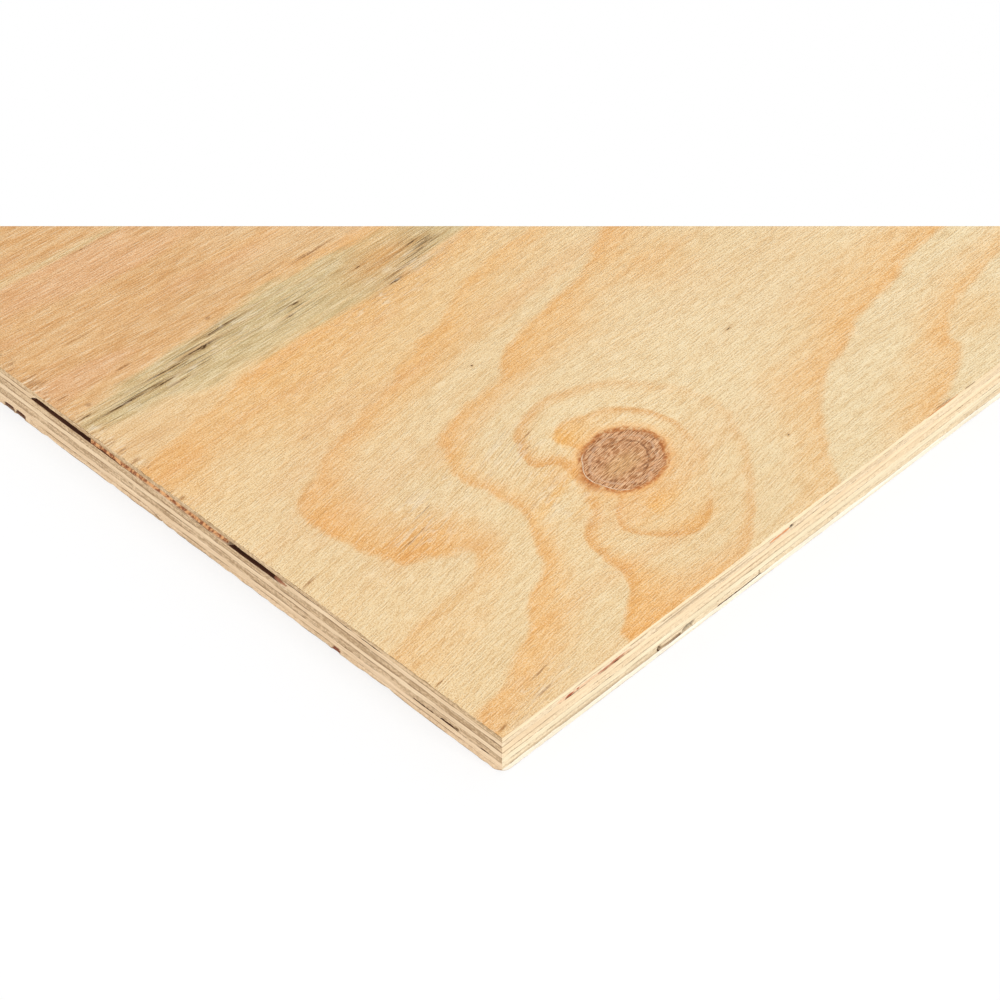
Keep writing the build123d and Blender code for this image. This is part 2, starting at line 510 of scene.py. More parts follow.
def arris_wear(u, v):
    """Chipped fibres at the short edges: strongest at the arris, gone a few millimetres in."""
    picked = [(0, 0.3), (60, 0.15), (125, 0.2), (160, 0.45), (195, 0.75), (260, 1.0), (610, 0.6)]
    density = along_line(picked, v)
    inset = np.minimum(u, sheet_length - u)
    return density * np.clip(1 - inset / arris_reach, 0, 1)


print("stain in the middle of its band:", stain_mask(np.array([90.0]), np.array([198.0])).round(2))

# %% [markdown]
# ## One ply as a mesh
#
# Every ply is a thin slab whose edge shows more than its faces. A cube with modifiers would give
# it square, perfect edges. Here the slab is worked out as arrays instead: a loop of columns runs
# round the outline, each column has a few rows from the lower glue line to the upper one, and a
# recess moves each point inwards, so saw marks, grooves and openings are real shape. The two flat
# sides are grids that share the loop's points, fine on a face that shows and coarse where the
# next ply covers it. Near the near corner the columns stand half a millimetre apart.

# %% Columns round the outline
near_reach_u, near_reach_v = 320.0, 304.0
near_cells_u, far_cells_u = 188, 100
near_cells_v, far_cells_v = 178, 38
columns_per_cell = 3
row_shares = np.array([0.0, 0.07, 0.2, 0.35, 0.5, 0.65, 0.8, 0.93, 1.0])
row_count = len(row_shares)


def graded_lines(length, near_reach, near_cells, far_cells):
    """Cell borders from 0 to length: small even cells in the near stretch and larger ones beyond."""
    near = np.linspace(0, near_reach, near_cells, endpoint=False)
    return np.concatenate([near, np.linspace(near_reach, length, far_cells + 1)])


def split_lines(lines, parts):
    """Every cell split into so many even parts."""
    return np.interp(np.arange(parts * (len(lines) - 1) + 1) / parts, np.arange(len(lines)), lines)


lines_u = graded_lines(sheet_length, near_reach_u, near_cells_u, far_cells_u)
lines_v = graded_lines(sheet_width, near_reach_v, near_cells_v, far_cells_v)
columns_u = split_lines(lines_u, columns_per_cell)
columns_v = split_lines(lines_v, columns_per_cell)
steps_u, steps_v = len(columns_u) - 1, len(columns_v) - 1
loop_count = 2 * (steps_u + steps_v)
corner_columns = np.array([0, steps_u, steps_u + steps_v, 2 * steps_u + steps_v])

NEAR_LONG, FAR_SHORT, FAR_LONG, NEAR_SHORT = range(4)
loop_u = np.concatenate([columns_u[:-1], np.full(steps_v, sheet_length), columns_u[:0:-1], np.zeros(steps_v)])
loop_v = np.concatenate([np.zeros(steps_u), columns_v[:-1], np.full(steps_u, sheet_width), columns_v[:0:-1]])
loop_side = np.repeat([NEAR_LONG, FAR_SHORT, FAR_LONG, NEAR_SHORT], [steps_u, steps_v, steps_u, steps_v])
loop_inward = np.array([(0, 1), (-1, 0), (0, -1), (1, 0)], float)[loop_side]
loop_inward[corner_columns] += loop_inward[corner_columns - 1]
loop_along = np.where(loop_side % 2 == 0, loop_u, loop_v)
loop_run = np.concatenate([[0], np.cumsum(np.hypot(np.diff(loop_u), np.diff(loop_v)))])
print("columns round the outline:", loop_count)


# %% Grids for the flat sides
def cap_polygons(row_start, inner_start, step):
    """Polygons of a flat side, seen from above: quads inside, and border cells that take in every column."""
    cells_u, cells_v = steps_u // step, steps_v // step
    ids = np.zeros((cells_u + 1, cells_v + 1), int)
    ids[:, 0] = row_start + np.arange(cells_u + 1) * step
    ids[-1, :] = row_start + steps_u + np.arange(cells_v + 1) * step
    ids[:, -1] = row_start + 2 * steps_u + steps_v - np.arange(cells_u + 1) * step
    ids[0, 1:] = row_start + loop_count - np.arange(1, cells_v + 1) * step
    ids[1:-1, 1:-1] = inner_start + np.arange((cells_u - 1) * (cells_v - 1)).reshape(cells_u - 1, cells_v - 1)
    first_u, first_v = np.arange(1, cells_u - 1), np.arange(1, cells_v - 1)
    square_u, square_v = (grid.ravel() for grid in np.meshgrid(first_u, first_v, indexing="ij"))
    inside = np.column_stack([ids[square_u, square_v], ids[square_u + 1, square_v],
                              ids[square_u + 1, square_v + 1], ids[square_u, square_v + 1]])
    span = np.arange(step + 1)

    def border(starts, second_last, last):
        run = row_start + (starts[:, None] + span) % loop_count
        return np.column_stack([run, second_last, last])

    borders = [
        border(first_u * step, ids[first_u + 1, 1], ids[first_u, 1]),
        border(steps_u + first_v * step, ids[-2, first_v + 1], ids[-2, first_v]),
        border(2 * steps_u + steps_v - (first_u + 1) * step, ids[first_u, -2], ids[first_u + 1, -2]),
        border(loop_count - (first_v + 1) * step, ids[1, first_v], ids[1, first_v + 1]),
    ]
    turn = np.arange(-step, step + 1)
    corner_runs = row_start + (corner_columns[:, None] + turn) % loop_count
    corner_inner = np.array([ids[1, 1], ids[-2, 1], ids[-2, -2], ids[1, -2]])
    return [inside, *borders, np.column_stack([corner_runs, corner_inner])]


def cap_places(step):
    """Plan places of a flat side's inner points, in the order that cap_polygons numbers them."""
    inner_u, inner_v = np.meshgrid(columns_u[::step][1:-1], columns_v[::step][1:-1], indexing="ij")
    return inner_u.ravel(), inner_v.ravel()


# %% [markdown]
# ## Bake maps and the mesh itself
#
# When the sheet goes out as a model, each ply's pattern is baked to one square picture. An
# automatic unwrap would give the thin edges almost no room, so each ply brings its own layout: a
# face that shows takes most of the square, and the edges lie below it in rows of about 300 mm.

# %% Layout of the bake map
bake_margin = 0.004
edge_row_length = 305.0
edge_rows = 12
first_edge_row = np.array([0, 4, 6, 10])
last_row_of_side = 3
edge_row_floor, edge_row_room = 0.12, 0.76
face_map_floor = 0.38
plain_edge_top = 0.8
hidden_map_room = 0.04
hidden_map_width = 1.6
hidden_upper_start = 0.5


def bake_layout(plan, polygons_of, visible_cap):
    """Map place of every polygon corner: caps by their plan, edges by rows of even length."""
    maps = []
    edge_top = face_map_floor - hidden_map_room if visible_cap else plain_edge_top
    row_height = (edge_top - bake_margin) / edge_rows
    for kind, polygons in polygons_of:
        flat_u, flat_v = plan[polygons, 0] / sheet_length, plan[polygons, 1] / sheet_width
        if kind == "edge":
            side = loop_side[polygons[:, 0] % loop_count]
            along = np.where((side % 2 == 0)[:, None], plan[polygons, 0], plan[polygons, 1])
            row = np.floor(along.mean(1) / edge_row_length).astype(int).clip(0, last_row_of_side)
            share = (along / edge_row_length - row[:, None]).clip(0, 1)
            height = edge_row_floor + edge_row_room * row_shares[polygons // loop_count]
            map_u = bake_margin + share * (1 - 2 * bake_margin)
            map_v = bake_margin + ((first_edge_row[side] + row)[:, None] + height) * row_height
        elif kind == visible_cap:
            map_u = bake_margin + flat_u * (1 - 2 * bake_margin)
            map_v = face_map_floor + bake_margin + flat_v * (1 - 2 * bake_margin - face_map_floor)
        else:
            room = hidden_map_room if visible_cap else 1 - edge_top
            left = bake_margin + (hidden_upper_start if kind == "upper" else 0.0)
            map_u = left + flat_u * hidden_map_width * room
            map_v = edge_top + bake_margin + flat_v * (room - 2 * bake_margin)
        maps.append(np.stack([map_u, map_v], -1).reshape(-1, 2))
    return np.concatenate(maps)


# %% Points and polygons of a ply
def rounded_corner(radius):
    """Outline of the ply, with the near corner's columns moved onto an arc of the given radius."""
    if radius <= 0:
        return loop_u, loop_v
    on_long = (loop_side == NEAR_LONG) & (loop_u < radius)
    on_short = (loop_side == NEAR_SHORT) & (loop_v < radius)
    turn = np.where(on_long, 1 - loop_u / radius, np.where(on_short, 1 - loop_v / radius, 0)) * math.pi / 4
    dip, run = radius * (1 - np.cos(turn)), radius * (1 - np.sin(turn))
    u = np.where(on_long, run, np.where(on_short, dip, loop_u))
    v = np.where(on_long, dip, np.where(on_short, run, loop_v))
    return u, v


def build_ply(node, recess, wanders, steps, cap_relief=None, round_radius=0.0):
    """Closed mesh of one ply: its recess by row and column, and both sides' glue wander and grid step."""
    (lower_wander, upper_wander), (lower_step, upper_step) = wanders, steps
    low, high = (np.array(corner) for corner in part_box(node))
    base, top = (np.array([low[2], high[2]]) - sheet_origin[2]) / MM
    start_u, start_v = rounded_corner(round_radius)
    wall_u = start_u + loop_inward[:, 0] * recess
    wall_v = start_v + loop_inward[:, 1] * recess
    share = row_shares[:, None]
    wall_z = (base + lower_wander) * (1 - share) + (top + upper_wander) * share
    lower_u, lower_v = cap_places(lower_step)
    upper_u, upper_v = cap_places(upper_step)
    upper_z = np.full(len(upper_u), top) if cap_relief is None else top - cap_relief(upper_u, upper_v)
    places = np.column_stack([
        np.concatenate([wall_u.ravel(), lower_u, upper_u]),
        np.concatenate([wall_v.ravel(), lower_v, upper_v]),
        np.concatenate([wall_z.ravel(), np.full(len(lower_u), base), upper_z]),
    ])
    numbers = np.meshgrid(np.arange(loop_count), np.arange(row_count - 1), indexing="ij")
    column, row = (grid.ravel() for grid in numbers)
    following = (column + 1) % loop_count
    edge = np.column_stack([row * loop_count + column, row * loop_count + following,
                            (row + 1) * loop_count + following, (row + 1) * loop_count + column])
    wall_points = row_count * loop_count
    lower = cap_polygons(0, wall_points, lower_step)
    upper = cap_polygons(wall_points - loop_count, wall_points + len(lower_u), upper_step)
    polygons_of = [("edge", edge)] + [("lower", p[:, ::-1]) for p in lower] + [("upper", p) for p in upper]
    return places, polygons_of


# %% From arrays to an object
def mark_outlines(mesh):
    """Smooth edges along the saw cut, with the arrises and the four upright corners kept sharp."""
    ends = np.zeros(2 * len(mesh.edges), np.int32)
    mesh.edges.foreach_get("vertices", ends)
    ends = ends.reshape(-1, 2)
    wall_points = row_count * loop_count
    on_wall = (ends < wall_points).all(1)
    lowest = (ends < loop_count).all(1)
    highest = on_wall & (ends >= wall_points - loop_count).all(1)
    upright = on_wall & np.isin(ends % loop_count, corner_columns).all(1)
    sharp = mesh.attributes.new("sharp_edge", "BOOLEAN", "EDGE")
    sharp.data.foreach_set("value", lowest | highest | upright)
    mesh.polygons.foreach_set("use_smooth", np.ones(len(mesh.polygons), bool))


def finish_index(polygons_of, end_sides):
    """Finish of every polygon: 0 long grain, 1 end grain, 2 lower side, 3 upper side."""
    indices = []
    for kind, polygons in polygons_of:
        if kind == "edge":
            indices.append(np.isin(loop_side[polygons[:, 0] % loop_count], end_sides).astype(int))
        else:
            indices.append(np.full(len(polygons), 2 if kind == "lower" else 3))
    return np.concatenate(indices)


def ply_object(node, places, polygons_of, attributes, materials, end_sides, visible_cap):
    """Puts one ply's arrays into a mesh: points, polygons, outlines, attributes, bake map and finishes."""
    mesh = bpy.data.meshes.new(node + "_wood")
    mesh.vertices.add(len(places))
    mesh.vertices.foreach_set("co", (places * MM + sheet_origin).ravel())
    corners = np.concatenate([polygons.ravel() for _, polygons in polygons_of])
    sizes = np.concatenate([np.full(len(polygons), polygons.shape[1]) for _, polygons in polygons_of])
    mesh.loops.add(len(corners))
    mesh.loops.foreach_set("vertex_index", corners)
    mesh.polygons.add(len(sizes))
    mesh.polygons.foreach_set("loop_start", np.concatenate([[0], np.cumsum(sizes)[:-1]]))
    mesh.update(calc_edges=True)
    mark_outlines(mesh)
    for material in materials:
        mesh.materials.append(material)
    mesh.polygons.foreach_set("material_index", finish_index(polygons_of, end_sides))
    for name, values in attributes.items():
        vector = values.ndim == 2
        layer = mesh.attributes.new(name, "FLOAT_VECTOR" if vector else "FLOAT", "POINT")
        layer.data.foreach_set("vector" if vector else "value", values.astype(np.float32).ravel())
    layout = mesh.uv_layers.new(name="OFBake")
    layout.uv.foreach_set("vector", bake_layout(places, polygons_of, visible_cap).astype(np.float32).ravel())
    piece = bpy.data.objects.new(node + "_wood", mesh)
    scene.collection.objects.link(piece)
    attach(piece, "root")
    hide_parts(node)
    print(piece.name, "points", len(places), "triangles", int((sizes - 2).sum()))


# %% [markdown]
# ## Mixing a finish
#
# Each finish is a node tree. Building one by hand in the editor is a lot of wiring, so a small
# recipe keeps the wiring short: each of its steps adds one node and gives back its output.
# Colours are written as swatches in everyday 0 to 255 values and turned into linear light.

# %% The recipe helper
def paint(red, green, blue):
    """Linear colour of a swatch in 0 to 255 values."""
    swatch = np.array([red, green, blue]) / 255
    linear = np.where(swatch <= 0.04045, swatch / 12.92, ((swatch + 0.055) / 1.055) ** 2.4)
    return (float(linear[0]), float(linear[1]), float(linear[2]), 1.0)


class Recipe:
    """A material being mixed: each step adds one node and gives back its output."""

    def __init__(self, name):
        self.material = bpy.data.materials.new(name)
        self.material.use_nodes = True
        self.tree = self.material.node_tree
        self.tree.nodes.clear()

    def node(self, kind, inputs, output=0, **settings):
        made = self.tree.nodes.new(kind)
        for name, value in settings.items():
            setattr(made, name, value)
        for name, value in inputs.items():
            if isinstance(value, bpy.types.NodeSocket):
                self.tree.links.new(value, made.inputs[name])
            else:
                made.inputs[name].default_value = value
        return made.outputs[output]

    def attribute(self, name, output="Fac"):
        return self.node("ShaderNodeAttribute", {}, output, attribute_name=name)

    def place(self):
        return self.node("ShaderNodeTexCoord", {}, "Object")

    def local(self, vector, middle, half):
        """Places seen from a middle point, in units of half sizes."""
        inputs = {"Vector": vector, "Location": middle, "Scale": half}
        return self.node("ShaderNodeMapping", inputs, vector_type="TEXTURE")

    def noise(self, vector, scale, detail=2.0, roughness=0.5, flat=True, turn=(0, 0, 0)):
        """Noise with so many features a unit along each axis, its axes turned by three angles."""
        size = tuple(1.0 / features for features in scale)
        inputs = {"Vector": vector, "Rotation": turn, "Scale": size}
        turned = self.node("ShaderNodeMapping", inputs, vector_type="TEXTURE")
        inputs = {"Vector": turned, "Scale": 1.0, "Detail": detail, "Roughness": roughness}
        return self.node("ShaderNodeTexNoise", inputs, noise_dimensions="2D" if flat else "3D")

    def step(self, value, low, high, at_low=0.0, at_high=1.0):
        inputs = {"Value": value, "From Min": low, "From Max": high, "To Min": at_low, "To Max": at_high}
        return self.node("ShaderNodeMapRange", inputs, interpolation_type="SMOOTHSTEP")

    def math(self, operation, first, second=0.0, third=0.0):
        return self.node("ShaderNodeMath", {0: first, 1: second, 2: third}, operation=operation)

    def times(self, first, second):
        return self.math("MULTIPLY", first, second)

    def add(self, first, second):
        return self.math("ADD", first, second)

    def scaled_add(self, value, factor, rest):
        return self.math("MULTIPLY_ADD", value, factor, rest)

    def sway(self, noise, amount, rest=0.0):
        """A value that noise moves to both sides, by up to half an amount."""
        return self.scaled_add(self.add(noise, -0.5), amount, rest)

    def near(self, value, middle, inner, outer, strength=1.0):
        """Strength within inner of a middle value, and nothing beyond outer."""
        return self.step(self.math("ABSOLUTE", self.add(value, -middle)), inner, outer, strength, 0.0)

    def length(self, vector):
        return self.node("ShaderNodeVectorMath", {0: vector}, "Value", operation="LENGTH")

    def mix(self, share, first, second, blend="MIX"):
        inputs = {0: share, 6: first, 7: second}
        return self.node("ShaderNodeMix", inputs, 2, data_type="RGBA", blend_type=blend)

    def finish(self, colour, roughness, height, depth):
        """Wood shader from its colour, roughness and a bump height, whose unit is depth metres."""
        bump = self.node("ShaderNodeBump", {"Height": height, "Distance": depth, "Strength": 1.0})
        inputs = {"Base Color": colour, "Roughness": roughness, "Normal": bump, "Specular IOR Level": 0.2}
        shader = self.node("ShaderNodeBsdfPrincipled", inputs)
        surface = self.tree.nodes.new("ShaderNodeOutputMaterial").inputs["Surface"]
        self.tree.links.new(shader, surface)
        return self.material


# %% [markdown]
# ## The face's finish
#
# All noise is read in the grain's own coordinates, so every streak bends with the fibres. The
# ring's height gets a little of the fibre noise too, which frays the ring lines.

# %% Knots and checks
def add_knots(recipe, colour):
    """Pinkish brown discs, hatched by the knife: broken rings, a ragged rim, a smudge and an orange halo."""
    spot = recipe.attribute("knot", "Vector")
    lobes = recipe.noise(spot, (1.5, 1.3, 1), detail=2)
    crumb = recipe.noise(spot, (6.5, 5.5, 1), detail=3, roughness=0.6)
    hatch = recipe.noise(spot, (4.0, 33, 1), detail=1, roughness=0.6, turn=(0, 0, 0.12))
    lobed = recipe.sway(lobes, 0.22, recipe.length(spot))
    apart = recipe.sway(crumb, 0.12, lobed)
    side = recipe.node("ShaderNodeSeparateXYZ", {"Vector": spot}, "X")

    def crumbled(share, low, high, least):
        """A share that the crumb noise breaks up, down to its least part."""
        return recipe.times(share, recipe.step(crumb, low, high, least, 1.0))

    halo = crumbled(recipe.step(apart, 1.0, 1.3, 0.6, 0.0), 0.32, 0.6, 0.5)
    colour = recipe.mix(halo, colour, paint(244, 178, 104))
    near_end = recipe.length(recipe.local(spot, (-1.0, 0.05, 0), (0.18, 0.5, 1)))
    smudge = crumbled(recipe.step(near_end, 0.3, 1.2, 0.75, 0.0), 0.34, 0.56, 0.5)
    colour = recipe.mix(smudge, colour, paint(196, 128, 70))

    heart = recipe.mix(recipe.step(crumb, 0.38, 0.60), paint(192, 134, 88), paint(224, 170, 124))
    middle = recipe.length(recipe.local(spot, (-0.12, -0.1, 0), (0.78, 0.46, 1)))
    heart = recipe.mix(recipe.step(middle, 0.2, 1.0, 0.85, 0.0), heart, paint(214, 166, 112))
    hatched = recipe.times(recipe.step(hatch, 0.49, 0.33, 0.0, 0.75), recipe.step(apart, 0.1, 0.8, 0.5, 1.0))
    heart = recipe.mix(hatched, heart, paint(124, 70, 28))
    heart = recipe.mix(recipe.step(hatch, 0.55, 0.66, 0.0, 0.6), heart, paint(244, 204, 160))
    inner_ring = recipe.times(recipe.near(apart, 0.6, 0.01, 0.045, 0.7), recipe.step(side, -0.35, 0.25))
    heart = recipe.mix(crumbled(inner_ring, 0.36, 0.56, 0.2), heart, paint(116, 66, 30))
    pale_ring = crumbled(recipe.near(apart, 0.78, 0.015, 0.05, 0.45), 0.6, 0.42, 0.2)
    heart = recipe.mix(pale_ring, heart, paint(236, 198, 164))
    colour = recipe.mix(recipe.step(apart, 0.99, 0.94), colour, heart)

    rim = crumbled(recipe.near(apart, 1.0, 0.02, 0.1, 0.9), 0.36, 0.6, 0.25)
    colour = recipe.mix(rim, colour, paint(190, 116, 60))
    dark_rim = recipe.times(rim, recipe.step(crumb, 0.56, 0.7, 0.0, 0.6))
    colour = recipe.mix(dark_rim, colour, paint(140, 80, 42))
    crescent = recipe.times(recipe.near(lobed, 0.955, 0.004, 0.022, 0.75), recipe.step(side, -0.4, -0.62))
    colour = recipe.mix(crumbled(crescent, 0.36, 0.52, 0.25), colour, paint(246, 222, 190))
    return colour, hatch, recipe.step(apart, 1.02, 0.92)


def check_distance(recipe, grain, checks, knots):
    """Distance to listed splits: thin ovals in the grain's coordinates, 1 on their outline."""
    nearest = None
    for u, v, half_length, half_width in checks:
        across = float(across_grain(np.array([float(u)]), np.array([float(v)]), knots)[0])
        apart = recipe.length(recipe.local(grain, (u, across, 0), (half_length, half_width, 1)))
        nearest = apart if nearest is None else recipe.math("MINIMUM", nearest, apart)
    return nearest


# %% Figured veneer
class FiguredVeneer(Recipe):
    """A peeled face being mixed: its fibres first, then one method for each group of layers."""

    def __init__(self, name, swatches, knots):
        super().__init__(name)
        self.swatches = swatches
        self.knots = knots
        self.grain = self.attribute("grain", "Vector")
        self.long_fibre = self.fibre(0.02, 0.3, detail=3, roughness=0.55)
        combed_fibre = self.fibre(0.09, 1.7, detail=2, roughness=0.65)
        short_fibre = self.fibre(0.15, 1.75, detail=2, roughness=0.6)
        self.tan = self.attribute("tan")
        self.stain = self.attribute("stain")
        combed = self.add(self.tan, self.stain)
        longer = self.times(self.math("SUBTRACT", combed_fibre, short_fibre), self.step(combed, 0.1, 0.6))
        self.fine_fibre = self.add(short_fibre, longer)
        self.pebble = self.fibre(0.8, 1.9, detail=1)
        self.speckle = self.fibre(1.8, 1.8, detail=0)
        self.speckled = self.sway(self.speckle, self.step(combed, 0.1, 0.6, 0.7, 0.5), self.fine_fibre)
        self.lobes = self.fibre(0.1, 0.13, detail=2)
        self.cloud = self.fibre(0.011, 0.055, detail=2)
        self.torn = self.attribute("torn")
        self.stain_amount = self.step(self.sway(self.long_fibre, 1.1, self.stain), 0.1, 1.0, 0.0, 0.95)

    def fibre(self, along, across, detail, roughness=0.5):
        """Noise with so many features a millimetre along and across the grain."""
        return self.noise(self.grain, (along, across, 1), detail, roughness)

    def lay(self, colour, share, swatch, blend="MIX"):
        """One more layer of a named swatch over a colour."""
        return self.mix(share, colour, self.swatches[swatch], blend)

    def ring_layers(self):
        """Early wood, late wood that grows towards each frayed ring line, the line itself and resin."""
        line_share = self.attribute("line")
        slope = self.attribute("slope")
        shift = self.sway(self.long_fibre, 3.5, self.sway(self.lobes, 8.0))
        shift = self.times(shift, self.scaled_add(line_share, -0.7, self.scaled_add(self.torn, 0.4, 0.8)))
        phase = self.math("FRACT", self.scaled_add(shift, slope, self.attribute("ring")))
        to_line = self.math("DIVIDE", self.math("SUBTRACT", 1.0, phase), self.math("MAXIMUM", slope, 0.006))
        ending = self.step(to_line, 0.0, self.scaled_add(line_share, -4.0, 5.4))
        late = self.times(self.step(phase, 0.25, 0.98), self.step(self.cloud, 0.3, 0.7, 0.8, 1.0))
        streaky = self.step(self.long_fibre, 0.3, 0.7, 0.88, 1.08)
        late = self.times(late, self.times(self.attribute("late"), streaky))
        line = self.times(self.step(to_line, 6.0, 1.5), self.times(line_share, 0.75))
        warm = self.times(self.attribute("warm"), self.step(self.cloud, 0.3, 0.7, 0.7, 1.3))
        colour = self.mix(warm, self.swatches["early"], self.swatches["early_warm"])
        colour = self.lay(colour, self.times(late, ending), "late")
        colour = self.lay(colour, self.times(line, ending), "line")
        return self.lay(colour, self.times(self.attribute("orange"), 0.8), "resin")

    def stain_layers(self, colour, tick_noise):
        """Tan wood, a rosy blush, the mottled stain with its streaks, and the resin-soaked patch."""
        tan = self.times(self.tan, self.step(self.long_fibre, 0.25, 0.7, 0.75, 1.0))
        colour = self.lay(colour, tan, "tan")
        rosy = self.scaled_add(self.attribute("warm"), 0.5, self.tan)
        colour = self.lay(colour, self.times(rosy, self.step(self.cloud, 0.45, 0.7, 0.0, 0.4)), "blush")
        mottle = self.scaled_add(self.cloud, 0.4, self.times(self.long_fibre, 0.6))
        mottled = self.times(self.stain_amount, self.step(mottle, 0.38, 0.6, 0.72, 1.0))
        colour = self.lay(colour, mottled, "stain")
        streak = self.times(self.stain_amount, self.step(tick_noise, 0.5, 0.72, 0.0, 0.45))
        colour = self.lay(colour, streak, "stain_streak")
        soaked = self.times(self.attribute("brown"), self.step(self.long_fibre, 0.3, 0.6, 0.4, 0.75))
        return self.lay(colour, soaked, "line")

    def fibre_layers(self, colour, tick_noise):
        """Soft streaks, dark and light fibres, and ticks and chips at the short arrises."""
        streak = self.step(self.long_fibre, 0.42, 0.7, 0.0, 0.3)
        colour = self.lay(colour, streak, "streak", "MULTIPLY")
        rougher = self.scaled_add(self.stain_amount, 1.2, self.torn)
        hair = self.step(self.scaled_add(rougher, -0.05, self.speckled), 0.6, 0.2, 0.0, 0.46)
        colour = self.lay(colour, hair, "hair", "MULTIPLY")
        colour = self.lay(colour, self.step(self.speckled, 0.48, 0.82, 0.0, 0.36), "chip")
        arris = self.attribute("arris")
        at_arris = self.times(self.step(arris, 0.1, 0.5), self.step(self.lobes, 0.4, 0.56, 0.15, 1.0))
        tick = self.step(self.scaled_add(arris, 0.16, tick_noise), 0.64, 0.72, 0.0, 0.65)
        tick = self.times(tick, at_arris)
        colour = self.lay(colour, tick, "pore")
        chip = self.step(self.scaled_add(arris, -0.14, tick_noise), 0.34, 0.27, 0.0, 0.6)
        return self.lay(colour, self.times(chip, at_arris), "chip"), tick

    def check_layers(self, colour, dark_checks, brown_checks):
        """Brown checks, thin splits in the stain, and dark checks, each in a soft shade."""
        wobble = self.sway(self.long_fibre, 2.0, self.sway(self.fine_fibre, 1.2))
        sideways = self.node("ShaderNodeCombineXYZ", {"Y": wobble})
        bent = self.node("ShaderNodeVectorMath", {0: self.grain, 1: sideways}, operation="ADD")
        broken = self.step(self.pebble, 0.3, 0.5, 0.55, 1.0)
        to_brown = check_distance(self, bent, brown_checks, self.knots)
        brown = self.times(self.step(to_brown, 0.2, 1.0, 1.0, 0.0), broken)
        colour = self.lay(colour, self.times(brown, 0.75), "brown_check")
        split = self.times(self.step(self.fibre(0.05, 1.4, detail=0), 0.62, 0.72), self.attribute("split"))
        to_dark = check_distance(self, bent, dark_checks, self.knots)
        colour = self.lay(colour, self.step(to_dark, 0.6, 2.6, 0.4, 0.0), "hair", "MULTIPLY")
        dark = self.times(self.step(to_dark, 0.2, 1.0, 1.0, 0.0), broken)
        return self.lay(colour, self.math("MAXIMUM", dark, self.times(split, 0.6)), "dark_check")

    def torn_ridges(self):
        """Thin ridges along the middle value of a noise, strong where the fibres are torn; the mask gives
        both their bump and their painted highlight.
        """
        ridge_and_highlight = self.near(self.fibre(0.05, 0.36, detail=1), 0.5, 0.0, 0.07)
        ridge_and_highlight = self.times(ridge_and_highlight, self.scaled_add(self.torn, 0.95, 0.05))
        return self.times(ridge_and_highlight, self.step(self.lobes, 0.38, 0.58, 0.15, 1.0))


def figured_veneer(name, swatches, knots, dark_checks, brown_checks):
    """Finish of a peeled face, from its swatches, its knots and its checks."""
    veneer = FiguredVeneer(name, swatches, knots)
    colour = veneer.ring_layers()
    tick_noise = veneer.fibre(0.09, 0.85, detail=2, roughness=0.6)
    colour = veneer.stain_layers(colour, tick_noise)
    colour, tick = veneer.fibre_layers(colour, tick_noise)
    colour = veneer.check_layers(colour, dark_checks, brown_checks)
    ridge_and_highlight = veneer.torn_ridges()
    # Painted highlight: the torn ridges are lightened towards the pale chip swatch, as if their crests caught
    # the light.
    colour = veneer.lay(colour, veneer.times(ridge_and_highlight, 0.45), "chip")
    colour, hatch, in_knot = add_knots(veneer, colour)
    relief = veneer.scaled_add(veneer.fine_fibre, 0.65, veneer.times(veneer.speckle, 0.25))
    for mark, height in [(ridge_and_highlight, 0.3), (veneer.times(hatch, in_knot), 0.6), (tick, -0.35)]:
        relief = veneer.scaled_add(mark, height, relief)
    roughness = veneer.step(veneer.long_fibre, 0.3, 0.7, 0.62, 0.78)
    return veneer.finish(colour, roughness, relief, face_bump_depth)


# %% The two faces
face_bump_depth = 0.0006
swatch_pairs = {
    "early": ((245, 225, 182), (234, 204, 162)),
    "early_warm": ((244, 206, 149), (228, 192, 144)),
    "late": ((246, 184, 103), (208, 152, 94)),
    "line": ((230, 170, 98), (196, 138, 84)),
    "resin": ((248, 190, 106), (214, 158, 98)),
    "tan": ((226, 177, 120), (204, 154, 104)),
    "blush": ((234, 184, 142), (206, 158, 120)),
    "stain": ((222, 203, 155), (188, 170, 124)),
    "stain_streak": ((190, 164, 112), (160, 136, 90)),
    "streak": ((242, 228, 206), (238, 222, 200)),
    "hair": ((206, 172, 130), (196, 160, 120)),
    "pore": ((172, 122, 76), (164, 114, 72)),
    # chip: pale chipped fibres, and also the painted highlight on torn ridges
    "chip": ((249, 232, 202), (240, 216, 180)),
    "dark_check": ((74, 46, 10), (74, 52, 28)),
    "brown_check": ((158, 104, 54), (128, 84, 48)),
}
face_swatches = {name: paint(*face) for name, (face, back) in swatch_pairs.items()}
back_swatches = {name: paint(*back) for name, (face, back) in swatch_pairs.items()}
face_dark_checks = [
    (21, 204.3, 21, 0.5), (35, 202.2, 9, 0.6), (4.7, 209.1, 3.6, 0.5), (40, 198.8, 7, 0.45),
    (40, 205.9, 15, 0.4), (56, 205.4, 14, 0.45), (57.3, 205.1, 2.2, 0.9), (69, 208.2, 14, 0.5),
    (63.6, 208.4, 2.6, 0.7), (95.5, 197.8, 2.4, 0.5), (90, 194.5, 1.6, 0.4), (124, 195.5, 2, 0.4),
    (135, 183.5, 8, 0.4), (129, 180.8, 5, 0.35), (145, 191, 6, 0.35), (153, 186.4, 5, 0.35),
    (146.4, 186.2, 2.2, 0.4), (152, 188.6, 2.4, 0.35), (62, 272, 8, 0.2), (194.5, 80, 1.6, 0.3),
    (171, 29, 0.6, 0.45), (117.5, 131, 0.5, 0.6), (700, 260, 26, 0.5),
]
